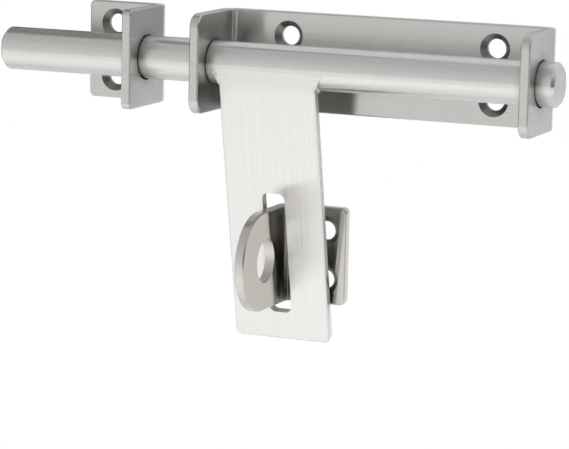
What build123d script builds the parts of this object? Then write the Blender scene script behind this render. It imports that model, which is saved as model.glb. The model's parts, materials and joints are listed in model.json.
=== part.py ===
from build123d import *
import math
import os

# Gate latch: a round bolt with a slotted hasp handle, guided by a folded bracket, with a keeper for
# the post and a staple whose bored eye locks the hasp. Every size below is in millimetres.
# X runs along the bolt, Y points into the gate, Z is up. The origin is the centre of the main
# bracket's four screw holes, on its back face. The latch is drawn shut, with the hasp over the staple.

# Sheet that the three brackets and the handle are cut from.
sheet = 3.2
bend_radius = 2.0
strip_height = 32.0
flange_depth = 30.0
base_corner = 1.8
edge_break = 0.4

# Countersunk screw holes.
screw_hole = 6.2
countersink = 9.8
countersink_angle = 90.0

# Bolt.
bolt_diameter = 14.0
bolt_length = 190.0
bolt_chamfer = 1.0
bolt_standoff = 17.3
bolt_tail = 6.0
guide_play = 0.5

# Main bracket, a channel with a bored flange at each end.
bracket_length = 113.0
bracket_corner = 4.5
bracket_screws_z = 16.5
bracket_inset_left = 23.0
bracket_inset_right = 20.0

# Keeper on the post, an angle with one bored flange.
keeper_length = 27.8
keeper_gap = 20.6
keeper_corner = 1.8
keeper_screws_z = 17.4
keeper_screw_inset = 9.4

# Hasp handle, welded under the bolt.
handle_width = 33.0
handle_tail = 9.4
handle_gap = 4.2
handle_corner = 2.0
slot_head = 5.5
slot_foot = 3.9
slot_play = 1.5
slot_fold_room = 3.0
slot_corner = 2.2
weld_radius = 1.1
handle_play = 0.05
rest_gap = 0.7

# Staple on the gate, an angle whose rounded flange passes through the handle's slot.
staple_drop = 62.4
staple_length = 23.2
staple_reach = 40.1
staple_eye = 14.0
staple_eye_reach = 22.0
staple_screws_z = 16.0
staple_screw_inset = 7.5

# Places that follow from those sizes.
bolt_radius = bolt_diameter / 2
guide_radius = bolt_radius + guide_play
saddle_radius = bolt_radius + handle_play
bracket_screws_x = bracket_length - bracket_inset_left - bracket_inset_right
bracket_right = bracket_screws_x / 2 + bracket_inset_right
bracket_left = bracket_right - bracket_length
bolt_right = bracket_right + bolt_tail
bolt_middle = bolt_right - bolt_length / 2
keeper_right = bracket_left - keeper_gap
keeper_left = keeper_right - keeper_length
handle_middle = bracket_left + sheet + handle_gap + handle_width / 2
slot_width = slot_play + sheet + slot_fold_room
slot_start = staple_drop - strip_height / 2 - slot_head
slot_length = slot_head + strip_height + slot_foot
handle_reach = slot_start + slot_length + handle_tail
staple_left = handle_middle - slot_width / 2 + slot_play
staple_right = staple_left + staple_length
tab_radius = strip_height / 2
tab_y = tab_radius - staple_reach

# The shut handle leans back until it meets the lower front edge of the staple's base.
stop_behind = bolt_standoff - sheet
stop_below = staple_drop + strip_height / 2
back_offset = bolt_radius - sheet
stop_angle = math.atan2(stop_behind, stop_below)
handle_lean = stop_angle + math.asin((back_offset - rest_gap) / math.hypot(stop_behind, stop_below))

# Working planes: the front of the bases, and the handle's own plane through the bolt's axis.
base_front = Plane.XZ.offset(sheet)
handle_plane = Plane(
    origin=(handle_middle, -bolt_standoff, 0),
    x_dir=(1, 0, 0),
    z_dir=(0, -math.cos(handle_lean), -math.sin(handle_lean)),
)
handle_side = Plane(origin=handle_plane.origin, x_dir=handle_plane.z_dir, z_dir=(-1, 0, 0))
bolt_line = Location((0, -bolt_standoff, 0), (0, 90, 0))


def folded_strip(outline, middle_z):
    """Sheet that follows the outline with its outer face, the thickness to the right of the way it runs."""
    with BuildPart() as strip:
        with BuildSketch(Plane.XY.offset(middle_z - strip_height / 2)):
            with BuildLine():
                FilletPolyline(*outline, radius=bend_radius + sheet)
                offset(amount=sheet, side=Side.RIGHT)
            make_face()
        extrude(amount=strip_height)
    return strip.part


def bend_edges(strip):
    """Bends of a folded strip's two side faces, from which the broken edge runs on along the outline."""
    sides = strip.faces().filter_by(Axis.Z).group_by(Axis.Z)
    return (sides[0].edges() + sides[-1].edges()).filter_by(GeomType.CIRCLE)


def make_main_bracket():
    """Channel on the gate: its back takes four screws and its two flanges guide the bolt."""
    outline = [
        (bracket_left, -flange_depth),
        (bracket_left, 0),
        (bracket_right, 0),
        (bracket_right, -flange_depth),
    ]
    with BuildPart() as bracket:
        add(folded_strip(outline, 0))
        fillet(bracket.edges().filter_by(Axis.X).group_by(Axis.Y)[0], bracket_corner)
        chamfer(bend_edges(bracket), edge_break)
        with Locations(bolt_line):
            Cylinder(guide_radius, 2 * bracket_length, mode=Mode.SUBTRACT)
        with Locations(base_front):
            with GridLocations(bracket_screws_x, bracket_screws_z, 2, 2):
                CounterSinkHole(screw_hole / 2, countersink / 2, sheet, countersink_angle)
    return bracket.part


def make_keeper_bracket():
    """Angle on the post: its base takes two screws and its flange receives the bolt."""
    outline = [(keeper_left, 0), (keeper_right, 0), (keeper_right, -flange_depth)]
    with BuildPart() as keeper:
        add(folded_strip(outline, 0))
        fillet(keeper.edges().filter_by(Axis.X).group_by(Axis.Y)[0], keeper_corner)
        fillet(keeper.edges().filter_by(Axis.Y).group_by(Axis.X)[0], base_corner)
        chamfer(bend_edges(keeper), edge_break)
        with Locations(Location((keeper_right, -bolt_standoff, 0), (0, 90, 0))):
            Cylinder(guide_radius, 4 * sheet, mode=Mode.SUBTRACT)
        with Locations(base_front):
            with Locations((keeper_left + keeper_screw_inset, 0)):
                with GridLocations(0, keeper_screws_z, 1, 2):
                    CounterSinkHole(screw_hole / 2, countersink / 2, sheet, countersink_angle)
    return keeper.part


def make_staple_bracket():
    """Angle on the gate: its round-ended flange stands out through the slot and carries the locking eye."""
    outline = [(staple_left, -staple_reach), (staple_left, 0), (staple_right, 0)]
    with BuildPart() as staple:
        add(folded_strip(outline, -staple_drop))
        with BuildSketch(Plane.YZ.offset(staple_left)):
            with Locations((tab_y, -staple_drop)):
                Circle(tab_radius)
            with Locations((tab_y / 2, -staple_drop)):
                Rectangle(-tab_y, strip_height)
        extrude(amount=staple_length, mode=Mode.INTERSECT)
        fillet(staple.edges().filter_by(Axis.Y).group_by(Axis.X)[-1], base_corner)
        chamfer(bend_edges(staple), edge_break)
        with Locations(Location((staple_left, -staple_eye_reach, -staple_drop), (0, 90, 0))):
            Cylinder(staple_eye / 2, 4 * sheet, mode=Mode.SUBTRACT)
        with Locations(base_front):
            with Locations((staple_right - staple_screw_inset, -staple_drop)):
                with GridLocations(0, staple_screws_z, 1, 2):
                    CounterSinkHole(screw_hole / 2, countersink / 2, sheet, countersink_angle)
    return staple.part


def make_bolt_rod():
    """Round bar with both ends chamfered."""
    with BuildPart() as bolt:
        with Locations(Location((bolt_middle, -bolt_standoff, 0), (0, 90, 0))):
            Cylinder(bolt_radius, bolt_length)
        chamfer(bolt.edges().filter_by(GeomType.CIRCLE), bolt_chamfer)
    return bolt.part


def make_handle_plate():
    """Slotted plate whose front runs out on the bolt, blended into it by a weld on the other three sides."""
    weld_reach = bolt_radius + weld_radius
    weld_length = handle_width + 2 * weld_radius
    bead_x = back_offset - weld_radius
    bead_y = -math.sqrt((saddle_radius + weld_radius) ** 2 - bead_x**2)
    bead_angle = math.degrees(math.atan2(bead_y, bead_x))
    lip_angle = -math.degrees(math.acos(bolt_radius / saddle_radius))
    plate_back = handle_plane.offset(back_offset)
    bolt_seat = Location((handle_middle, -bolt_standoff, 0), (0, 90, 0))
    with BuildPart() as handle:
        with BuildSketch(plate_back) as front:
            with Locations((0, -handle_reach / 2)):
                Rectangle(handle_width, handle_reach)
            fillet(front.vertices().group_by(Axis.Y)[0], handle_corner)
        extrude(amount=sheet)
        chamfer(handle.edges().filter_by(Axis.X).sort_by(Axis.Z)[:2], edge_break)
        with BuildSketch(plate_back):
            with Locations((0, -slot_start - slot_length / 2)):
                RectangleRounded(slot_width, slot_length, slot_corner)
        extrude(amount=sheet, mode=Mode.SUBTRACT)
        with BuildPart(bolt_seat):
            Cylinder(weld_reach, weld_length)
            with Locations((0, 0, -weld_length / 2), (0, 0, weld_length / 2)):
                Torus(weld_reach, weld_radius, mode=Mode.SUBTRACT)
            with BuildSketch(handle_side):
                with BuildLine():
                    saddle = CenterArc((0, 0), saddle_radius, lip_angle, bead_angle - lip_angle)
                    bead = TangentArc((back_offset, bead_y), saddle @ 1, tangent=(0, 1))
                    Polyline(
                        saddle @ 0,
                        (bolt_radius, -weld_reach),
                        (back_offset, -weld_reach),
                        bead @ 0,
                    )
                make_face()
            extrude(amount=weld_length / 2, both=True, mode=Mode.INTERSECT)
        with Locations(bolt_seat):
            Cylinder(saddle_radius, weld_length, mode=Mode.SUBTRACT)
    return handle.part


os.makedirs("parts", exist_ok=True)
export_step(make_main_bracket(), "parts/main_bracket.step")
export_step(make_keeper_bracket(), "parts/keeper_bracket.step")
export_step(make_staple_bracket(), "parts/staple_bracket.step")
export_step(make_bolt_rod(), "parts/bolt_rod.step")
export_step(make_handle_plate(), "parts/handle_plate.step")
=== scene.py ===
"""Gate latch in brushed stainless steel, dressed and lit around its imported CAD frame."""
import json
import math

import bpy
from bpy.props import FloatProperty, FloatVectorProperty, PointerProperty
from mathutils import Matrix, Vector


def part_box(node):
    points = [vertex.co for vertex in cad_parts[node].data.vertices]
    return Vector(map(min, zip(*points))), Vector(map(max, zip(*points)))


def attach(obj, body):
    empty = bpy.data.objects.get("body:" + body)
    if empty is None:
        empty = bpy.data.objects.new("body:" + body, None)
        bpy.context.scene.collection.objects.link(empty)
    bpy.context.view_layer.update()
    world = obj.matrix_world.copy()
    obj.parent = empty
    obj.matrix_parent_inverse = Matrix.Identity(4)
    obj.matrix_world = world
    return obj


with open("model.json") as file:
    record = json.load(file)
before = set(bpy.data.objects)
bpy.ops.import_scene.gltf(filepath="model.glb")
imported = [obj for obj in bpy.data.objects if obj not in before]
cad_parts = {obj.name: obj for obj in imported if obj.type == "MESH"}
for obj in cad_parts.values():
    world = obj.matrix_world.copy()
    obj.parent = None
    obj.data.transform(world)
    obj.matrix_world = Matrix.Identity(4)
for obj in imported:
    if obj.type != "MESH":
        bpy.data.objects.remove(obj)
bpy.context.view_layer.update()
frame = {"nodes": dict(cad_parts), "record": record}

bl_info = {
    "name": "Gate latch",
    "version": (1, 0, 0),
    "blender": (4, 5, 0),
    "location": "View3D > Sidebar > Latch",
    "description": "Dresses the gate latch in brushed steel and sets its studio",
    "category": "Object",
}

SLOT_COLOURS = {m["slot"]: tuple(m["base_color"]) for m in frame["record"]["materials"]}
MM_IN_METRE = 1000
BLACK = (0, 0, 0, 1)
WHITE = (1, 1, 1, 1)

# Steps from node to node in the shader editor.
NODE_COLUMN = 220
NODE_ROW = 320
# Sums on vectors that give a plain number.
MEASURES = ("LENGTH", "DISTANCE", "DOT_PRODUCT")
# Factors that keep two parts of a vector and drop the third.
ONLY_XZ = (1, 0, 1)
ONLY_YZ = (0, 1, 1)

# Brush lines: how the noise is drawn, and the levels between which most of it lies.
NOISE_LOW = 0.3
NOISE_HIGH = 0.7
LINE_SCALE = 0.5
LINE_DETAIL = 2.0
# Broad streaks between the lines, in widths and lengths of a line, and their share.
STREAK_WIDTH = 4
STREAK_LENGTH = 2
STREAK_SHARE = 0.2
# Clouds of wear, and how far the wear takes the roughness up and down.
CLOUD_DETAIL = 3.0
CLOUD_SHARE = 0.5
SATIN_SWING = 0.2
RELIEF_STRENGTH = 0.5
# Samples of the painted shade in gaps and holes, and of the rounded edges.
PAINTED_SHADE_SAMPLES = 8
EDGE_SAMPLES = 6
# Turn of the blur, as a share of a full turn, from round an axis to along it.
QUARTER_TURN = 0.25
# Across the handle's brush lines. Plain X would have no direction on a face square to X.
NEARLY_X = (1, 0, 0.05)

# The weld stands this hair out of the handle's front, so that the two never share a plane.
WELD_PROUD = 0.000004
WELD_SEGMENTS = 2
# Share of a normal along X from which a face counts as square to X.
SQUARE = 0.999
# Cylinder that hollows a bead: its sides, and its length in radii of the bolt.
CUTTER_SIDES = 128
CUTTER_LENGTH = 4
SETTLE_ROUNDS = 6

FLOOR_SIDES = 96
FLOOR_PAINT = (0.85, 0.85, 0.85, 1)
# Share of the floor's radius from which it is plain white.
FLOOR_CLEAR = 0.4
# The card's pale paint, and the painted shade at its upper left, which the steel mirrors as a painted
# dark reflection.
CARD_PALE = (0.79, 0.80, 0.82, 1)
CARD_PAINTED_SHADE = (0.25, 0.24, 0.23, 1)
# Shortest ray that sees the card, in gaps between card and latch. Shorter ones start behind the steel.
CARD_REACH = 2.5
# Brightness of the surround from the floor up to the ceiling, as pairs of height and level.
CEILING = ((0.42, 0.86), (0.50, 0.80), (0.60, 0.73), (0.72, 0.67), (0.92, 0.55))
SENSOR_WIDTH = 36.0
SIGHT_LENGTH = 20.0


class LatchFinish(bpy.types.PropertyGroup):
    """Colours of the four steel finishes, the grain that brushing leaves in them, the painted shade in
    their gaps, holes and countersinks, and the welds.
    """

    bracket_colour: FloatVectorProperty(
        name="Bracket steel",
        description="Colour of the main bracket and the keeper",
        default=SLOT_COLOURS["bracket_steel"], subtype="COLOR", min=0, max=1,
    )
    staple_colour: FloatVectorProperty(
        name="Staple steel",
        description="Colour of the staple",
        default=SLOT_COLOURS["staple_steel"], subtype="COLOR", min=0, max=1,
    )
    bolt_colour: FloatVectorProperty(
        name="Bolt steel",
        description="Colour of the round bolt",
        default=(0.72, 0.72, 0.70), subtype="COLOR", min=0, max=1,
    )
    handle_colour: FloatVectorProperty(
        name="Handle steel",
        description="Colour of the hasp handle",
        default=SLOT_COLOURS["handle_steel"], subtype="COLOR", min=0, max=1,
    )
    bracket_roughness: FloatProperty(
        name="Bracket roughness",
        description="How far the brackets blur what they mirror",
        default=0.22, subtype="FACTOR", min=0, max=1,
    )
    bracket_anisotropy: FloatProperty(
        name="Bracket anisotropy",
        description="How much more the brackets and the staple blur across the brush lines",
        default=0.95, subtype="FACTOR", min=0, max=1,
    )
    staple_roughness: FloatProperty(
        name="Staple roughness",
        description="How far the staple blurs what it mirrors",
        default=0.19, subtype="FACTOR", min=0, max=1,
    )
    bolt_roughness: FloatProperty(
        name="Bolt roughness",
        description="How far the bolt blurs what it mirrors",
        default=0.25, subtype="FACTOR", min=0, max=1,
    )
    bolt_anisotropy: FloatProperty(
        name="Bolt anisotropy",
        description="How much more the bolt blurs along its length than round it",
        default=0.8, subtype="FACTOR", min=0, max=1,
    )
    handle_roughness: FloatProperty(
        name="Handle roughness",
        description="How far the handle blurs what it mirrors",
        default=0.25, subtype="FACTOR", min=0, max=1,
    )
    handle_anisotropy: FloatProperty(
        name="Handle anisotropy",
        description="How much more the handle blurs across the brush lines than along them",
        default=0.9, subtype="FACTOR", min=0, max=1,
    )
    bracket_grain: FloatProperty(
        name="Bracket grain",
        description="How far the brush lines darken and lighten the brackets",
        default=0.04, subtype="FACTOR", min=0, max=1,
    )
    staple_grain: FloatProperty(
        name="Staple grain",
        description="How far the brush lines darken and lighten the staple",
        default=0.035, subtype="FACTOR", min=0, max=1,
    )
    bolt_grain: FloatProperty(
        name="Bolt grain",
        description="How far the brush lines darken and lighten the bolt",
        default=0.03, subtype="FACTOR", min=0, max=1,
    )
    handle_grain: FloatProperty(
        name="Handle grain",
        description="How far the brush lines darken and lighten the handle",
        default=0.035, subtype="FACTOR", min=0, max=1,
    )
    grain_pitch: FloatProperty(
        name="Grain pitch",
        description="Width of one brush line",
        default=0.00018, unit="LENGTH", min=0.00005, precision=5,
    )
    grain_length: FloatProperty(
        name="Grain length",
        description="Length of one brush line",
        default=0.025, unit="LENGTH", min=0.001,
    )
    grain_depth: FloatProperty(
        name="Grain depth",
        description="Height of the brush lines in the bump",
        default=0.000003, unit="LENGTH", min=0, precision=6,
    )
    edge_radius: FloatProperty(
        name="Edge radius",
        description="How far the shading rounds off an edge",
        default=0.00012, unit="LENGTH", min=0, precision=5,
    )
    # Painted shade: the steel's colour is darkened near other faces, standing in for shade and dark
    # reflections in gaps and holes.
    painted_shade_reach: FloatProperty(
        name="Crevice reach",
        description="How near another face has to be to darken the steel",
        default=0.004, unit="LENGTH", min=0.0005,
    )
    painted_shade_share: FloatProperty(
        name="Crevice shade",
        description="How far the steel darkens in a narrow gap or hole",
        default=0.8, subtype="FACTOR", min=0, max=1,
    )
    sink_radius: FloatProperty(
        name="Countersink radius",
        description="How far round a screw's axis the turned cone reaches",
        default=0.00495, unit="LENGTH", min=0.003, precision=5,
    )
    # Painted shade in the countersink cones, standing in for their dark reflections.
    painted_sink_shade: FloatProperty(
        name="Countersink shade",
        description="Share of the steel's brightness that is left in the turned cones",
        default=0.5, subtype="FACTOR", min=0, max=1,
    )
    weld_rise: FloatProperty(
        name="Weld rise",
        description="How far the ground weld reaches up round the bolt from where the handle touches",
        default=0.00025, unit="LENGTH", min=0.0001, precision=5,
    )
    weld_drop: FloatProperty(
        name="Weld drop",
        description="How far the ground weld reaches down the handle",
        default=0.0012, unit="LENGTH", min=0.0009, precision=5,
    )
    weld_thickness: FloatProperty(
        name="Weld thickness",
        description="Thickness of the ground weld",
        default=0.00008, unit="LENGTH", min=0.00002, precision=6,
    )
    weld_fade: FloatProperty(
        name="Weld fade",
        description="How far from the bolt the handle's colour runs over into the bolt's",
        default=0.004, unit="LENGTH", min=0.0005,
    )
    bead_leg: FloatProperty(
        name="Bead leg",
        description="How far a weld bead reaches along the bolt from the handle's side",
        default=0.0029, unit="LENGTH", min=0.001, max=0.003,
    )
    bead_drop: FloatProperty(
        name="Bead drop",
        description="How far a weld bead reaches down the handle's side from the bolt's axis",
        default=0.0052, unit="LENGTH", min=0.001, max=0.006,
    )
    bead_proud: FloatProperty(
        name="Bead proud",
        description="How far a weld bead stands out from the handle's front",
        default=0.00004, unit="LENGTH", min=0, precision=5,
    )
    bead_melt: FloatProperty(
        name="Bead melt",
        description="How far a weld bead reaches into the bolt and the handle",
        default=0.0003, unit="LENGTH", min=0.0001, precision=5,
    )
    bead_grain: FloatProperty(
        name="Bead grain",
        description="Fineness of a weld bead's mesh",
        default=0.0001, unit="LENGTH", min=0.00005, precision=5,
    )


class LatchStudio(bpy.types.PropertyGroup):
    """Camera, floor, card and light of the studio."""

    camera_place: FloatVectorProperty(
        name="Camera place",
        description="Where the camera stands",
        default=(0.304139, -0.819397, 0.095305), subtype="TRANSLATION", unit="LENGTH",
    )
    camera_azimuth: FloatProperty(
        name="Camera azimuth",
        description="How far the camera stands round to the right of the front",
        default=math.radians(22.556), subtype="ANGLE",
    )
    camera_elevation: FloatProperty(
        name="Camera elevation",
        description="How far the camera looks down",
        default=math.radians(9.552), subtype="ANGLE",
    )
    camera_roll: FloatProperty(
        name="Camera roll",
        description="How far the camera leans to its left",
        default=math.radians(1.3517), subtype="ANGLE",
    )
    camera_lens: FloatProperty(
        name="Lens",
        description="Focal length, in millimetres on a sensor 36 mm wide",
        default=173.92, min=1,
    )
    floor_drop: FloatProperty(
        name="Floor drop",
        description="How far the floor lies below the bolt's axis",
        default=0.45, unit="LENGTH", min=0.12,
    )
    floor_radius: FloatProperty(
        name="Floor radius",
        description="Radius of the round floor",
        default=3.0, unit="LENGTH", min=0.5,
    )
    floor_white: FloatProperty(
        name="Floor white",
        description="Share of plain white in what is seen of the floor below the latch",
        default=0.6, subtype="FACTOR", min=0, max=1,
    )
    card_gap: FloatProperty(
        name="Card gap",
        description="How far the pale card stands behind the latch",
        default=0.004, unit="LENGTH", min=0.001,
    )
    card_size: FloatProperty(
        name="Card size",
        description="Side of the pale card behind the latch",
        default=1.2, unit="LENGTH", min=0.3,
    )
    card_glow: FloatProperty(
        name="Card glow",
        description="Light that the card gives by itself, so that its shadows stay soft",
        default=0.05, min=0, max=1,
    )
    pool_lamp_place: FloatVectorProperty(
        name="Pool lamp place",
        description="Where the lamp hangs that lights the floor in front of the latch",
        default=(-0.25, -0.68, 1.0), subtype="TRANSLATION", unit="LENGTH",
    )
    pool_lamp_size: FloatProperty(
        name="Pool lamp size",
        description="Side of the lamp that lights the floor",
        default=0.4, unit="LENGTH", min=0.01,
    )
    pool_lamp_power: FloatProperty(
        name="Pool lamp power",
        description="Power of the lamp that lights the floor",
        default=3.7, unit="POWER", min=0,
    )
    card_lamp_place: FloatVectorProperty(
        name="Card lamp place",
        description="Where the lamp hangs that lights the card from the lower right",
        default=(0.3, -0.65, -0.35), subtype="TRANSLATION", unit="LENGTH",
    )
    card_lamp_target: FloatVectorProperty(
        name="Card lamp target",
        description="Point of the latch that the card's lamp is turned to",
        default=(0, 0, -0.03), subtype="TRANSLATION", unit="LENGTH",
    )
    card_lamp_size: FloatProperty(
        name="Card lamp size",
        description="Side of the lamp that lights the card",
        default=0.3, unit="LENGTH", min=0.01,
    )
    card_lamp_power: FloatProperty(
        name="Card lamp power",
        description="Power of the lamp that lights the card",
        default=0.3, unit="POWER", min=0,
    )
    lamp_spread: FloatProperty(
        name="Lamp spread",
        description="Full angle of each lamp's beam",
        default=math.radians(60), subtype="ANGLE", min=0.05,
    )
    shade_azimuth: FloatProperty(
        name="Shade azimuth",
        description="How far round to the right of the front the surround is dimmest",
        default=math.radians(50), subtype="ANGLE",
    )
    shade_angle: FloatProperty(
        name="Shade angle",
        description="Half angle of the dim part of the surround",
        default=math.radians(60), subtype="ANGLE", min=0.05,
    )
    shade_light: FloatProperty(
        name="Shade light",
        description="Share of the surround's light that is left in that dim part",
        default=0.12, subtype="FACTOR", min=0, max=1,
    )


def clear_selection():
    """Nothing is selected or active, so an operator acts only on what is added next."""
    if bpy.context.object and bpy.context.object.mode != "OBJECT":
        bpy.ops.object.mode_set(mode="OBJECT")
    bpy.ops.object.select_all(action="DESELECT")
    bpy.context.view_layer.objects.active = None


def select_only(piece):
    """The piece alone is selected and active."""
    clear_selection()
    piece.select_set(True)
    bpy.context.view_layer.objects.active = piece


def keep_primitive(name):
    """The primitive just added, named, with its place, turn and size in its mesh."""
    piece = bpy.context.object
    piece.name = name
    bpy.ops.object.transform_apply(location=True, rotation=True, scale=True)
    return piece


def apply_modifier(piece, modifier):
    """The modifier's result becomes the piece's own mesh."""
    select_only(piece)
    bpy.ops.object.modifier_apply(modifier=modifier.name)


def cut_away(piece, cutter):
    """The cutter's shape is taken out of the piece and the cutter thrown away."""
    modifier = piece.modifiers.new("cut", "BOOLEAN")
    modifier.operation = "DIFFERENCE"
    modifier.object = cutter
    apply_modifier(piece, modifier)
    bpy.data.objects.remove(cutter)


def empty_material(name):
    """New node material with no nodes yet, and its tree."""
    material = bpy.data.materials.new(name)
    material.use_nodes = True
    material.node_tree.nodes.clear()
    return material, material.node_tree


def add_node(tree, kind, inputs=None, **settings):
    """New shader node. Each input takes a value or another node's output."""
    node = tree.nodes.new(kind)
    for setting, value in settings.items():
        setattr(node, setting, value)
    for name, value in (inputs or {}).items():
        if isinstance(value, bpy.types.NodeSocket):
            tree.links.new(value, node.inputs[name])
        else:
            node.inputs[name].default_value = value
    return node


def reckon(tree, operation, first, second):
    """Result of a sum on two numbers."""
    node = add_node(tree, "ShaderNodeMath", {0: first, 1: second}, operation=operation)
    return node.outputs["Value"]


def reckon_vector(tree, operation, *vectors):
    """Result of a sum on vectors, a plain number where the sum measures something."""
    node = add_node(tree, "ShaderNodeVectorMath", dict(enumerate(vectors)), operation=operation)
    return node.outputs["Value" if operation in MEASURES else "Vector"]


def rescale(tree, value, taken_from, brought_to=(0, 1), **settings):
    """Value carried over from one range to another and held at its ends."""
    inputs = {
        "Value": value,
        "From Min": taken_from[0],
        "From Max": taken_from[1],
        "To Min": brought_to[0],
        "To Max": brought_to[1],
    }
    return add_node(tree, "ShaderNodeMapRange", inputs, **settings).outputs["Result"]


def blend(tree, kind, first, second, share, **settings):
    """Two numbers or two colours mixed, with that share of the second."""
    inputs = {"Factor": share, "A": first, "B": second}
    return add_node(tree, "ShaderNodeMix", inputs, data_type=kind, **settings).outputs["Result"]


def blend_shaders(tree, first, second, share):
    """Two shaders mixed, with that share of the second."""
    inputs = {"Fac": share, 1: first.outputs[0], 2: second.outputs[0]}
    return add_node(tree, "ShaderNodeMixShader", inputs).outputs["Shader"]


def any_ray(tree, *kinds):
    """One for rays of those kinds, and nothing for the rest."""
    path = add_node(tree, "ShaderNodeLightPath")
    found = path.outputs[kinds[0]]
    for kind in kinds[1:]:
        found = reckon(tree, "MAXIMUM", found, path.outputs[kind])
    return found


def set_ramp(node, stops):
    """The ramp takes the colours at the given places, which rise from stop to stop."""
    elements = node.color_ramp.elements
    for index, (place, colour) in enumerate(stops):
        element = elements[index] if index < len(elements) else elements.new(place)
        element.position = place
        element.color = colour


def arrange(tree):
    """Each node goes to the right of the nodes that feed it, so the tree reads from left to right."""
    columns = {node.name: 0 for node in tree.nodes}
    for _ in columns:
        for link in tree.links:
            after = columns[link.from_node.name] + 1
            columns[link.to_node.name] = max(columns[link.to_node.name], after)
    rows = {}
    for node in tree.nodes:
        column = columns[node.name]
        row = rows.get(column, 0)
        rows[column] = row + 1
        node.location = (column * NODE_COLUMN, -row * NODE_ROW)


def coat(piece, material):
    """The piece takes the material as its only one."""
    arrange(material.node_tree)
    piece.data.materials.clear()
    piece.data.materials.append(material)


def cad_node(name):
    """CAD node of that name, which has to be in the frame."""
    node = frame["nodes"].get(name)
    if node is None:
        raise RuntimeError(f"the frame has no node named {name}")
    return node


def bolt_axis():
    """Radius of the bolt, and the point of its axis at X zero."""
    low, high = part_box("bolt_rod")
    return (high.z - low.z) / 2, Vector((0, (low.y + high.y) / 2, (low.z + high.z) / 2))


def screw_places(mount_name):
    """X and Z of each screw of a mount in the record."""
    mount = next(m for m in frame["record"]["mounts"] if m["name"] == mount_name)
    half_x = mount["dims"].get("spacing_x_mm", 0) / MM_IN_METRE / 2
    half_z = mount["dims"].get("spacing_y_mm", 0) / MM_IN_METRE / 2
    x, _, z = mount["pos_m"]
    sides = (-1, 1)
    return sorted({(x + side * half_x, z + row * half_z) for side in sides for row in sides})


def shaded(colour, factor):
    """Colour made lighter or darker, as four numbers."""
    return tuple(min(1.0, part * factor) for part in colour) + (1.0,)


def grain(tree, seen, across_axes, pitch, length):
    """Noise drawn out into lines, narrow along the given axes and long along the others."""
    cells = [1 / (pitch if axis in across_axes else length) for axis in "XYZ"]
    stretch = add_node(tree, "ShaderNodeMapping", {"Vector": seen, "Scale": cells})
    noise = add_node(tree, "ShaderNodeTexNoise", {
        "Vector": stretch.outputs["Vector"],
        "Scale": LINE_SCALE,
        "Detail": LINE_DETAIL,
    })
    return noise.outputs["Fac"]


def brushed_steel(name, colour, across_axes, roughness, contrast, finish):
    """Satin steel whose brush lines are narrow along the given axes and long along the others."""
    material, tree = empty_material(name)
    seen = add_node(tree, "ShaderNodeTexCoord", name="coordinates").outputs["Object"]
    lines = grain(tree, seen, across_axes, finish.grain_pitch, finish.grain_length)
    streak_pitch = finish.grain_pitch * STREAK_WIDTH
    streaks = grain(tree, seen, across_axes, streak_pitch, finish.grain_length * STREAK_LENGTH)
    brushing = blend(tree, "FLOAT", lines, streaks, STREAK_SHARE)

    tone = add_node(tree, "ShaderNodeValToRGB", {"Fac": brushing}, name="tone")
    set_ramp(tone, (
        (NOISE_LOW, shaded(colour, 1 - contrast)),
        (NOISE_HIGH, shaded(colour, 1 + contrast)),
    ))
    plain = tone.outputs["Color"]
    # Painted shade: the tone is darkened where other faces are near, in gaps, holes and corners.
    painted_crevice_shade = add_node(
        tree, "ShaderNodeAmbientOcclusion", {"Color": plain, "Distance": finish.painted_shade_reach},
        name="painted_crevice_shade", samples=PAINTED_SHADE_SAMPLES,
    )
    dark = painted_crevice_shade.outputs["Color"]
    tint = blend(tree, "RGBA", plain, dark, finish.painted_shade_share, name="depth")

    clouds = add_node(tree, "ShaderNodeTexNoise", {
        "Vector": seen,
        "Scale": 1 / finish.grain_length,
        "Detail": CLOUD_DETAIL,
    })
    wear = blend(tree, "FLOAT", brushing, clouds.outputs["Fac"], CLOUD_SHARE)
    satin_range = (roughness * (1 - SATIN_SWING), roughness * (1 + SATIN_SWING))
    satin = rescale(tree, wear, (NOISE_LOW, NOISE_HIGH), satin_range)

    edges = add_node(
        tree, "ShaderNodeBevel", {"Radius": finish.edge_radius},
        name="edges", samples=EDGE_SAMPLES,
    )
    relief = add_node(tree, "ShaderNodeBump", {
        "Strength": RELIEF_STRENGTH,
        "Distance": finish.grain_depth,
        "Height": brushing,
        "Normal": edges.outputs["Normal"],
    })
    steel = add_node(tree, "ShaderNodeBsdfPrincipled", {
        "Base Color": tint,
        "Metallic": 1.0,
        "Roughness": satin,
        "Normal": relief.outputs["Normal"],
    }, name="steel")
    add_node(tree, "ShaderNodeOutputMaterial", {"Surface": steel.outputs["BSDF"]})
    return material


def retint(tree, colour):
    """The steel takes this colour in place of its plain tone."""
    tree.links.new(colour, tree.nodes["painted_crevice_shade"].inputs["Color"])
    tree.links.new(colour, tree.nodes["depth"].inputs["A"])


def paint_countersink_shade(material, mount_names, finish):
    """The cones round the screws of those mounts are darker: painted shade standing in for the dark
    reflections in the countersinks.
    """
    tree = material.node_tree
    seen = tree.nodes["coordinates"].outputs["Object"]
    flat = reckon_vector(tree, "MULTIPLY", seen, ONLY_XZ)
    nearest = None
    for mount_name in mount_names:
        for x, z in screw_places(mount_name):
            distance = reckon_vector(tree, "DISTANCE", flat, (x, 0, z))
            if nearest is None:
                nearest = distance
            else:
                nearest = reckon(tree, "MINIMUM", nearest, distance)
    inside = reckon(tree, "LESS_THAN", nearest, finish.sink_radius)
    # The back of the sheet, at Y zero, stays plain.
    parts = add_node(tree, "ShaderNodeSeparateXYZ", {"Vector": seen})
    front = reckon(tree, "LESS_THAN", parts.outputs["Y"], -finish.edge_radius)
    # The cones on the front take the painted shade.
    turned = reckon(tree, "MULTIPLY", inside, front)
    share = rescale(tree, turned, (0, 1), (1, finish.painted_sink_shade))
    plain = tree.nodes["tone"].outputs["Color"]
    retint(tree, blend(tree, "RGBA", plain, share, 1.0, blend_type="MULTIPLY"))


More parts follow.
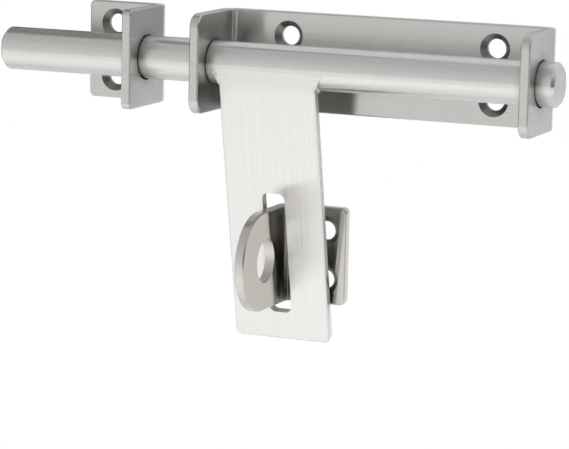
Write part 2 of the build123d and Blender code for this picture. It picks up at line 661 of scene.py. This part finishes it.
def run_out_weld(material, finish):
    """Near the bolt the steel has the bolt's colour and a sharp edge, so no seam shows at the weld."""
    tree = material.node_tree
    radius, axis = bolt_axis()
    offset = reckon_vector(tree, "SUBTRACT", tree.nodes["coordinates"].outputs["Object"], axis)
    distance = reckon_vector(tree, "LENGTH", reckon_vector(tree, "MULTIPLY", offset, ONLY_YZ))
    fade = (radius, radius + finish.weld_fade)
    away = rescale(tree, distance, fade, interpolation_type="SMOOTHSTEP")
    plain = tree.nodes["tone"].outputs["Color"]
    retint(tree, blend(tree, "RGBA", shaded(finish.bolt_colour, 1), plain, away))
    rounding = reckon(tree, "MULTIPLY", away, finish.edge_radius)
    tree.links.new(rounding, tree.nodes["edges"].inputs["Radius"])


def blur_along(material, axis, amount):
    """Fine marks round the axis blur what the steel mirrors along it more than round it."""
    tree = material.node_tree
    steel = tree.nodes["steel"]
    around = add_node(tree, "ShaderNodeTangent", direction_type="RADIAL", axis=axis)
    steel.inputs["Anisotropic"].default_value = amount
    steel.inputs["Anisotropic Rotation"].default_value = QUARTER_TURN
    tree.links.new(around.outputs["Tangent"], steel.inputs["Tangent"])


def blur_sideways(material, amount):
    """Brush lines up and down the plate blur what it mirrors along X more than along them."""
    tree = material.node_tree
    steel = tree.nodes["steel"]
    sideways = add_node(tree, "ShaderNodeCombineXYZ", dict(zip("XYZ", NEARLY_X)))
    steel.inputs["Anisotropic"].default_value = amount
    tree.links.new(sideways.outputs["Vector"], steel.inputs["Tangent"])


class LATCH_OT_finish_brackets(bpy.types.Operator):
    """Brush the main bracket and the keeper along their strip"""

    bl_idname = "latch.finish_brackets"
    bl_label = "Finish Brackets"

    def execute(self, context):
        finish = context.scene.latch_finish
        steel = brushed_steel(
            "brushed_bracket_steel", finish.bracket_colour, "Z",
            finish.bracket_roughness, finish.bracket_grain, finish,
        )
        blur_along(steel, "Z", finish.bracket_anisotropy)
        paint_countersink_shade(steel, ("gate_screws", "post_screws"), finish)
        coat(cad_node("main_bracket"), steel)
        coat(cad_node("keeper_bracket"), steel)
        return {"FINISHED"}


class LATCH_OT_finish_staple(bpy.types.Operator):
    """Brush the staple along its strip"""

    bl_idname = "latch.finish_staple"
    bl_label = "Finish Staple"

    def execute(self, context):
        finish = context.scene.latch_finish
        steel = brushed_steel(
            "brushed_staple_steel", finish.staple_colour, "Z",
            finish.staple_roughness, finish.staple_grain, finish,
        )
        blur_along(steel, "Z", finish.bracket_anisotropy)
        paint_countersink_shade(steel, ("staple_screws",), finish)
        coat(cad_node("staple_bracket"), steel)
        return {"FINISHED"}


class LATCH_OT_finish_bolt(bpy.types.Operator):
    """Give the bolt a satin drawn-bar finish"""

    bl_idname = "latch.finish_bolt"
    bl_label = "Finish Bolt"

    def execute(self, context):
        finish = context.scene.latch_finish
        steel = brushed_steel(
            "satin_bolt_steel", finish.bolt_colour, "YZ",
            finish.bolt_roughness, finish.bolt_grain, finish,
        )
        blur_along(steel, "X", finish.bolt_anisotropy)
        coat(cad_node("bolt_rod"), steel)
        return {"FINISHED"}


class LATCH_OT_finish_handle(bpy.types.Operator):
    """Brush the hasp handle along its length"""

    bl_idname = "latch.finish_handle"
    bl_label = "Finish Handle"

    def execute(self, context):
        finish = context.scene.latch_finish
        steel = brushed_steel(
            "brushed_handle_steel", finish.handle_colour, "X",
            finish.handle_roughness, finish.handle_grain, finish,
        )
        run_out_weld(steel, finish)
        blur_sideways(steel, finish.handle_anisotropy)
        coat(cad_node("handle_plate"), steel)
        return {"FINISHED"}


def plate_front():
    """Largest face of the handle's front."""
    faces = cad_node("handle_plate").data.polygons
    return max((face for face in faces if face.normal.y < 0), key=lambda face: face.area)


def plate_side(side):
    """X of the handle's left side, for minus one, or of its right side, for one."""
    faces = cad_node("handle_plate").data.polygons
    square = [face for face in faces if face.normal.x * side > SQUARE]
    return max(square, key=lambda face: face.area).center.x


def lean_with_plate(piece, centre):
    """An upright piece is turned about the bolt's axis until it lies as the handle does."""
    normal = plate_front().normal
    lean = math.atan2(-normal.z, -normal.y)
    select_only(piece)
    bpy.ops.object.mode_set(mode="EDIT")
    bpy.ops.mesh.select_all(action="SELECT")
    bpy.ops.transform.rotate(value=-lean, orient_axis="X", center_override=centre)
    bpy.ops.object.mode_set(mode="OBJECT")


class LATCH_OT_lay_weld(bpy.types.Operator):
    """Lay the weld, ground flush, that closes the joint between the handle's front and the bolt"""

    bl_idname = "latch.lay_weld"
    bl_label = "Lay Weld"

    def execute(self, context):
        finish = context.scene.latch_finish
        front = plate_front()
        axis = bolt_axis()[1]
        reach = (front.center - axis).dot(front.normal)
        low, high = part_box("handle_plate")
        centre = axis + Vector(((low.x + high.x) / 2, 0, 0))
        depth = finish.weld_thickness / 2 - reach - WELD_PROUD
        height = (finish.weld_rise - finish.weld_drop) / 2
        clear_selection()
        bpy.ops.mesh.primitive_cube_add(
            size=1,
            location=centre + Vector((0, depth, height)),
            scale=(high.x - low.x, finish.weld_thickness, finish.weld_rise + finish.weld_drop),
        )
        weld = keep_primitive("weld_run")
        bpy.ops.object.mode_set(mode="EDIT")
        bpy.ops.mesh.select_all(action="SELECT")
        bpy.ops.mesh.bevel(
            offset=finish.weld_thickness / 4, segments=WELD_SEGMENTS, affect="EDGES",
        )
        bpy.ops.object.mode_set(mode="OBJECT")
        lean_with_plate(weld, centre)
        steel = brushed_steel(
            "ground_weld_steel", finish.bolt_colour, "YZ",
            finish.bolt_roughness, finish.bolt_grain, finish,
        )
        blur_along(steel, "X", finish.bolt_anisotropy)
        # Rounded shading would draw a seam where the weld meets the bolt.
        steel.node_tree.nodes["edges"].inputs["Radius"].default_value = 0.0
        coat(weld, steel)
        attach(weld, "handle")
        return {"FINISHED"}


class LATCH_OT_lay_beads(bpy.types.Operator):
    """Lay the bead of weld that fills each corner between the handle's sides and the bolt"""

    bl_idname = "latch.lay_beads"
    bl_label = "Lay Beads"

    def execute(self, context):
        finish = context.scene.latch_finish
        steel = brushed_steel(
            "weld_bead_steel", finish.handle_colour, "XYZ",
            finish.handle_roughness, finish.handle_grain, finish,
        )
        run_out_weld(steel, finish)
        radius, axis = bolt_axis()
        for name, side in (("weld_bead_left", -1), ("weld_bead_right", 1)):
            edge = Vector((plate_side(side), axis.y, axis.z))
            bead = self.cast_bead(name, edge, side, radius, finish)
            self.melt_bead(bead, finish)
            lean_with_plate(bead, edge)
            coat(bead, steel)
            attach(bead, "handle")
        return {"FINISHED"}

    def cast_bead(self, name, edge, side, radius, finish):
        """Sloping wedge in the corner, which reaches a little way into the bolt and the plate."""
        front = radius + finish.bead_proud
        middle = Vector((
            side * (finish.bead_leg - finish.bead_melt) / 2,
            -front / 2,
            -finish.bead_drop / 2,
        ))
        clear_selection()
        bpy.ops.mesh.primitive_cube_add(
            size=1,
            location=edge + middle,
            scale=(finish.bead_leg + finish.bead_melt, front, finish.bead_drop),
        )
        bead = keep_primitive(name)
        bpy.ops.object.mode_set(mode="EDIT")
        bpy.ops.mesh.select_mode(type="VERT")
        bpy.ops.mesh.select_all(action="DESELECT")
        bpy.ops.object.mode_set(mode="OBJECT")
        for vertex in bead.data.vertices:
            outward = (vertex.co.x - edge.x) * side
            vertex.select = outward > 0 and vertex.co.z < edge.z - finish.bead_drop / 2
        bpy.ops.object.mode_set(mode="EDIT")
        bpy.ops.transform.translate(value=(-side * finish.bead_leg, 0, 0))
        bpy.ops.object.mode_set(mode="OBJECT")

        clear_selection()
        bpy.ops.mesh.primitive_cylinder_add(
            vertices=CUTTER_SIDES, radius=radius - finish.bead_melt, depth=CUTTER_LENGTH * radius,
            location=edge, rotation=(0, math.pi / 2, 0),
        )
        cut_away(bead, bpy.context.object)
        return bead

    def melt_bead(self, bead, finish):
        """The wedge's edges run out soft and its faces a little uneven, as a weld sets."""
        melt = bead.modifiers.new("melt", "REMESH")
        melt.mode = "VOXEL"
        melt.voxel_size = finish.bead_grain
        apply_modifier(bead, melt)
        settle = bead.modifiers.new("settle", "SMOOTH")
        settle.iterations = SETTLE_ROUNDS
        apply_modifier(bead, settle)
        lumps = bpy.data.textures.new("weld_lumps", "CLOUDS")
        lumps.noise_scale = finish.bead_leg / 2
        ripple = bead.modifiers.new("ripple", "DISPLACE")
        ripple.texture = lumps
        ripple.texture_coords = "OBJECT"
        ripple.strength = finish.bead_melt / 2
        apply_modifier(bead, ripple)
        bpy.ops.object.shade_smooth()


def direction(azimuth, elevation):
    """Direction from the latch to a point so far round to the right of the front and so far up."""
    return Vector((
        math.sin(azimuth) * math.cos(elevation),
        -math.cos(azimuth) * math.cos(elevation),
        math.sin(elevation),
    ))


def lay_floor(studio):
    """Round pale floor that shows its shadows near the latch and runs out into plain white."""
    clear_selection()
    bpy.ops.mesh.primitive_circle_add(
        vertices=FLOOR_SIDES, radius=studio.floor_radius, fill_type="NGON",
        location=(0, 0, -studio.floor_drop),
    )
    floor = keep_primitive("studio_floor")
    material, tree = empty_material("pale_floor")
    paint = add_node(tree, "ShaderNodeBsdfDiffuse", {"Color": FLOOR_PAINT})
    white = add_node(tree, "ShaderNodeEmission", {"Color": WHITE})
    seen = add_node(tree, "ShaderNodeTexCoord").outputs["Object"]
    distance = reckon_vector(tree, "LENGTH", seen)
    run_out = (studio.floor_drop, studio.floor_radius * FLOOR_CLEAR)
    white_share = rescale(tree, distance, run_out, (studio.floor_white, 1))
    looking = any_ray(tree, "Is Camera Ray", "Is Glossy Ray", "Is Transmission Ray")
    shown = blend_shaders(tree, paint, white, reckon(tree, "MULTIPLY", looking, white_share))
    add_node(tree, "ShaderNodeOutputMaterial", {"Surface": shown})
    coat(floor, material)


def stand_card(studio):
    """Pale card close behind the latch, which only the steel sees, and only from in front of it."""
    keeper_low, keeper_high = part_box("keeper_bracket")
    bolt_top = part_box("bolt_rod")[1].z
    clear_selection()
    bpy.ops.mesh.primitive_plane_add(
        size=studio.card_size, location=(0, studio.card_gap, 0), rotation=(math.pi / 2, 0, 0),
    )
    card = keep_primitive("studio_card")
    card.visible_camera = False
    card.visible_shadow = False
    card.visible_diffuse = False
    material, tree = empty_material("pale_card")
    # Painted shade: dark only above the bolt at the keeper's left end, and paler from there to the
    # right and down, so the steel shows a painted dark reflection there.
    seen = add_node(tree, "ShaderNodeTexCoord").outputs["Object"]
    parts = add_node(tree, "ShaderNodeSeparateXYZ", {"Vector": seen})
    along = rescale(tree, parts.outputs["X"], (keeper_low.x, keeper_high.x))
    below = rescale(tree, parts.outputs["Z"], (bolt_top, 0))
    pale_share = reckon(tree, "MAXIMUM", along, below)
    tint = add_node(tree, "ShaderNodeValToRGB", {"Fac": pale_share})
    set_ramp(tint, ((0, CARD_PAINTED_SHADE), (1, CARD_PALE)))
    paint = add_node(tree, "ShaderNodeBsdfDiffuse", {"Color": tint.outputs["Color"]})
    glow = add_node(tree, "ShaderNodeEmission", {"Color": WHITE, "Strength": studio.card_glow})
    pale = add_node(tree, "ShaderNodeAddShader", {0: paint.outputs[0], 1: glow.outputs[0]})
    # Rays from the back of the latch are short and pass through.
    path = add_node(tree, "ShaderNodeLightPath")
    far = reckon(tree, "GREATER_THAN", path.outputs["Ray Length"], studio.card_gap * CARD_REACH)
    clear = add_node(tree, "ShaderNodeBsdfTransparent")
    shown = blend_shaders(tree, clear, pale, far)
    add_node(tree, "ShaderNodeOutputMaterial", {"Surface": shown})
    coat(card, material)


def hang_surround(scene, studio):
    """White surround, dimmer towards the ceiling and to the front right, plain white to the camera."""
    world = bpy.data.worlds.new("studio_surround")
    scene.world = world
    world.use_nodes = True
    tree = world.node_tree
    tree.nodes.clear()
    seen = add_node(tree, "ShaderNodeTexCoord").outputs["Generated"]
    parts = add_node(tree, "ShaderNodeSeparateXYZ", {"Vector": seen})
    height = rescale(tree, parts.outputs["Z"], (-1, 1))
    ceiling = add_node(tree, "ShaderNodeValToRGB", {"Fac": height})
    set_ramp(ceiling, [(place, (level, level, level, 1)) for place, level in CEILING])

    dimmest = direction(studio.shade_azimuth, -studio.camera_elevation)
    towards = reckon_vector(tree, "DOT_PRODUCT", seen, dimmest)
    shade = rescale(
        tree, towards, (math.cos(studio.shade_angle), 1), (0, 1 - studio.shade_light),
        interpolation_type="SMOOTHSTEP",
    )
    dimmed = blend(tree, "RGBA", ceiling.outputs["Color"], BLACK, shade)
    soft = add_node(tree, "ShaderNodeBackground", {"Color": dimmed})
    white = add_node(tree, "ShaderNodeBackground", {"Color": WHITE})
    looking = any_ray(tree, "Is Camera Ray", "Is Transmission Ray")
    shown = blend_shaders(tree, soft, white, looking)
    add_node(tree, "ShaderNodeOutputWorld", {"Surface": shown})
    arrange(tree)


def hang_lamp(name, place, target, size, power, spread):
    """Square soft lamp that points at the target and shows in no reflection."""
    clear_selection()
    bpy.ops.object.light_add(type="AREA", location=place)
    lamp = bpy.context.object
    lamp.name = name
    lamp.data.shape = "SQUARE"
    lamp.data.size = size
    lamp.data.energy = power
    lamp.data.spread = spread
    lamp.visible_glossy = False
    aim = Vector(target) - Vector(place)
    lamp.rotation_euler = aim.to_track_quat("-Z", "Y").to_euler()


def stand_camera(scene, studio):
    """Camera at the photograph's place and angle, with nothing shifted and nothing out of focus."""
    azimuth = studio.camera_azimuth
    elevation = studio.camera_elevation
    back = direction(azimuth, elevation)
    right = Vector((math.cos(azimuth), math.sin(azimuth), 0))
    up = back.cross(right)
    level = Matrix((right, up, back)).transposed()
    turned = level @ Matrix.Rotation(studio.camera_roll, 3, "Z")
    clear_selection()
    bpy.ops.object.camera_add(location=studio.camera_place, rotation=turned.to_euler())
    camera = bpy.context.object
    camera.name = "photo_camera"
    camera.data.sensor_fit = "HORIZONTAL"
    camera.data.sensor_width = SENSOR_WIDTH
    camera.data.lens = studio.camera_lens
    camera.data.clip_end = SIGHT_LENGTH
    scene.camera = camera


class LATCH_OT_build_stage(bpy.types.Operator):
    """Lay the floor, stand the card, hang the surround and lamps, and stand the camera"""

    bl_idname = "latch.build_stage"
    bl_label = "Build Stage"

    def execute(self, context):
        scene = context.scene
        studio = scene.latch_studio
        scene.view_settings.view_transform = "Standard"
        lay_floor(studio)
        stand_card(studio)
        hang_surround(scene, studio)
        pool_x, pool_y, _ = studio.pool_lamp_place
        hang_lamp(
            "pool_lamp", studio.pool_lamp_place, (pool_x, pool_y, -studio.floor_drop),
            studio.pool_lamp_size, studio.pool_lamp_power, studio.lamp_spread,
        )
        hang_lamp(
            "card_lamp", studio.card_lamp_place, studio.card_lamp_target,
            studio.card_lamp_size, studio.card_lamp_power, studio.lamp_spread,
        )
        stand_camera(scene, studio)
        return {"FINISHED"}


class LATCH_PT_sidebar(bpy.types.Panel):
    """Sizes, colours and build steps of the gate latch"""

    bl_idname = "LATCH_PT_sidebar"
    bl_label = "Gate Latch"
    bl_space_type = "VIEW_3D"
    bl_region_type = "UI"
    bl_category = "Latch"

    def draw(self, context):
        layout = self.layout
        for title, settings, steps in (
            ("Steel", context.scene.latch_finish, FINISH_STEPS),
            ("Studio", context.scene.latch_studio, STAGE_STEPS),
        ):
            box = layout.box()
            box.label(text=title)
            for setting in settings.bl_rna.properties.keys():
                if setting not in ("rna_type", "name"):
                    box.prop(settings, setting)
            for step in steps:
                box.operator(step.bl_idname)


FINISH_STEPS = (
    LATCH_OT_finish_brackets,
    LATCH_OT_finish_staple,
    LATCH_OT_finish_bolt,
    LATCH_OT_finish_handle,
    LATCH_OT_lay_weld,
    LATCH_OT_lay_beads,
)
STAGE_STEPS = (LATCH_OT_build_stage,)
CLASSES = (LatchFinish, LatchStudio) + FINISH_STEPS + STAGE_STEPS + (LATCH_PT_sidebar,)


def register():
    """Makes the classes known to Blender and hangs the settings on the scene."""
    for part in CLASSES:
        bpy.utils.register_class(part)
    bpy.types.Scene.latch_finish = PointerProperty(type=LatchFinish)
    bpy.types.Scene.latch_studio = PointerProperty(type=LatchStudio)


def unregister():
    """Takes away what register added, in the opposite order."""
    del bpy.types.Scene.latch_studio
    del bpy.types.Scene.latch_finish
    for part in reversed(CLASSES):
        bpy.utils.unregister_class(part)


def main():
    """Builds the dressed latch and its studio."""
    register()
    bpy.ops.latch.finish_brackets()
    bpy.ops.latch.finish_staple()
    bpy.ops.latch.finish_bolt()
    bpy.ops.latch.finish_handle()
    bpy.ops.latch.lay_weld()
    bpy.ops.latch.lay_beads()
    bpy.ops.latch.build_stage()


if __name__ == "__main__":
    main()
